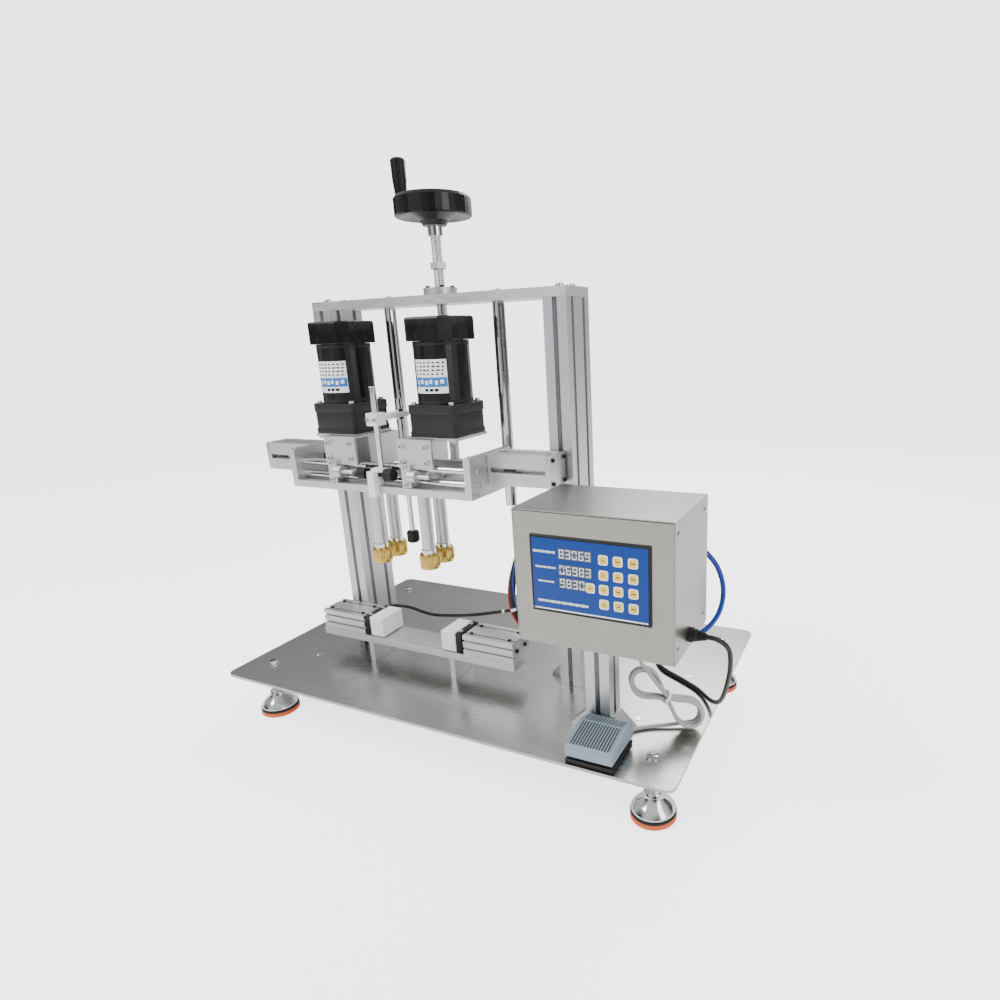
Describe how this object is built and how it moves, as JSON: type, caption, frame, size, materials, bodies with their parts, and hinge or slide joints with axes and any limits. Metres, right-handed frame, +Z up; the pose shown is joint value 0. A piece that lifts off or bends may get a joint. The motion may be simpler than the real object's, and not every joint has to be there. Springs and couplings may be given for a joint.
{
  "type": "capping machine",
  "caption": "Bench bottle-capping machine: lifting carriage with motor heads and knurled rollers under a column frame, sliding bottle clamp, control box and foot pedal.",
  "frame": {"origin": "on the floor, under the middle of the base plate", "axes": "+Z up, +X to the operator's right along the plate's length, -Y towards the operator"},
  "size_m": [0.9345, 0.53, 0.975],
  "materials": {
    "stainless": "fine brushed",
    "anodised_extrusion": "clear anodised",
    "milled_aluminium": "milled, clear anodised",
    "hard_chrome": "polished",
    "turned_steel": "turned",
    "roller_brass": "knurled",
    "black_plastic": "satin",
    "black_paint": "satin",
    "black_rubber": "matt",
    "white_plastic": "satin",
    "panel_blue": "semi-gloss membrane",
    "pedal_grey": "satin",
    "blue_hose": "smooth",
    "grey_cord": "smooth"
  },
  "bodies": {
    "frame": {"base_plate": "stainless", "foot_front_left": "hard_chrome", "foot_front_right": "hard_chrome", "foot_rear_left": "hard_chrome", "foot_rear_right": "hard_chrome", "column_left": "anodised_extrusion", "column_right": "anodised_extrusion", "top_beam": "milled_aluminium", "flange_nut": "turned_steel", "guide_rod_left": "hard_chrome", "guide_rod_right": "hard_chrome", "clamp_table": "milled_aluminium", "clamp_cylinder_left": "anodised_extrusion", "clamp_cylinder_right": "anodised_extrusion", "control_box_body": "stainless", "control_box_cover": "stainless", "key_panel": "panel_blue", "box_post": "anodised_extrusion", "pedal_base": "black_plastic", "air_hose": "blue_hose", "power_gland": "black_plastic", "power_lead": "black_rubber", "power_lead_coil": "black_rubber", "power_plug": "black_plastic", "clamp_hose": "black_rubber", "pedal_cord": "grey_cord", "pedal_cord_hank": "grey_cord", "wire_loom": "black_rubber"},
    "carriage": {"carriage_floor": "milled_aluminium", "carriage_wall_left": "milled_aluminium", "carriage_wall_right": "milled_aluminium", "slide_rod_lower": "hard_chrome", "slide_rod_upper": "hard_chrome", "head_cylinder_left": "anodised_extrusion", "head_cylinder_right": "anodised_extrusion", "stop_bracket": "white_plastic", "stop_stud": "black_rubber"},
    "screw": {"lead_screw": "turned_steel", "handwheel": "black_plastic"},
    "grip": {"handwheel_grip": "black_plastic"},
    "lock_nut": {"screw_lock_nut": "turned_steel"},
    "head_left": {"head_bracket_left": "milled_aluminium", "gearbox_left": "black_paint", "motor_left": "black_paint", "fan_cover_left": "black_plastic"},
    "head_right": {"head_bracket_right": "milled_aluminium", "gearbox_right": "black_paint", "motor_right": "black_paint", "fan_cover_right": "black_plastic"},
    "spindle_left_front": {"spindle_left_front": "roller_brass"},
    "spindle_left_rear": {"spindle_left_rear": "roller_brass"},
    "spindle_right_front": {"spindle_right_front": "roller_brass"},
    "spindle_right_rear": {"spindle_right_rear": "roller_brass"},
    "presser": {"presser_arm": "white_plastic", "presser_bumper": "black_rubber"},
    "jaw_left": {"jaw_plate_left": "black_plastic", "jaw_pad_left": "white_plastic"},
    "jaw_right": {"jaw_plate_right": "black_plastic", "jaw_pad_right": "white_plastic"},
    "pedal": {"treadle": "pedal_grey"}
  },
  "joints": [
    {"name": "wheel_turn", "type": "hinge", "parent": "carriage", "child": "screw", "pos_m": [-0.0445, -0.025, 0.873], "axis": [0, 0, 1], "range_deg": [-2612, 1622]},
    {"name": "carriage_lift", "type": "slide", "parent": "frame", "child": "carriage", "axis": [0, 0, 1], "range_m": [-0.029, 0.018]},
    {"name": "grip_spin", "type": "hinge", "parent": "screw", "child": "grip", "pos_m": [-0.08955, -0.04668, 0.918], "axis": [0, 0, 1], "continuous": true},
    {"name": "lock_nut_run", "type": "slide", "parent": "screw", "child": "lock_nut", "axis": [0, 0, 1], "range_m": [0, 0.04]},
    {"name": "left_head_slide", "type": "slide", "parent": "carriage", "child": "head_left", "axis": [1, 0, 0], "range_m": [-0.005, 0.01]},
    {"name": "right_head_slide", "type": "slide", "parent": "carriage", "child": "head_right", "axis": [1, 0, 0], "range_m": [-0.01, 0.005]},
    {"name": "spindle_left_front_spin", "type": "hinge", "parent": "head_left", "child": "spindle_left_front", "pos_m": [-0.1585, -0.1145, 0.309], "axis": [0, 0, 1], "continuous": true},
    {"name": "spindle_left_rear_spin", "type": "hinge", "parent": "head_left", "child": "spindle_left_rear", "pos_m": [-0.1585, -0.0735, 0.309], "axis": [0, 0, 1], "continuous": true},
    {"name": "spindle_right_front_spin", "type": "hinge", "parent": "head_right", "child": "spindle_right_front", "pos_m": [-0.0515, -0.1145, 0.309], "axis": [0, 0, 1], "continuous": true},
    {"name": "spindle_right_rear_spin", "type": "hinge", "parent": "head_right", "child": "spindle_right_rear", "pos_m": [-0.0515, -0.0735, 0.309], "axis": [0, 0, 1], "continuous": true},
    {"name": "presser_slide", "type": "slide", "parent": "carriage", "child": "presser", "axis": [0, 0, 1], "range_m": [-0.03, 0.035]},
    {"name": "left_jaw_slide", "type": "slide", "parent": "frame", "child": "jaw_left", "axis": [1, 0, 0], "range_m": [0, 0.04]},
    {"name": "right_jaw_slide", "type": "slide", "parent": "frame", "child": "jaw_right", "axis": [1, 0, 0], "range_m": [-0.04, 0]},
    {"name": "pedal_press", "type": "hinge", "parent": "frame", "child": "pedal", "pos_m": [0.3125, -0.184, 0.1122], "axis": [1, 0, 0], "range_deg": [0, 3], "stiffness_Nm_per_rad": 5, "springref_deg": -4.58}
  ],
  "couplings": [
    {"joint": "wheel_turn", "follows": "carriage_lift", "rad_per_m": 1570.8},
    {"joint": "right_head_slide", "follows": "left_head_slide", "ratio": -1},
    {"joint": "right_jaw_slide", "follows": "left_jaw_slide", "ratio": -1},
    {"joint": "spindle_left_rear_spin", "follows": "spindle_left_front_spin", "ratio": 1},
    {"joint": "spindle_right_rear_spin", "follows": "spindle_right_front_spin", "ratio": 1}
  ]
}
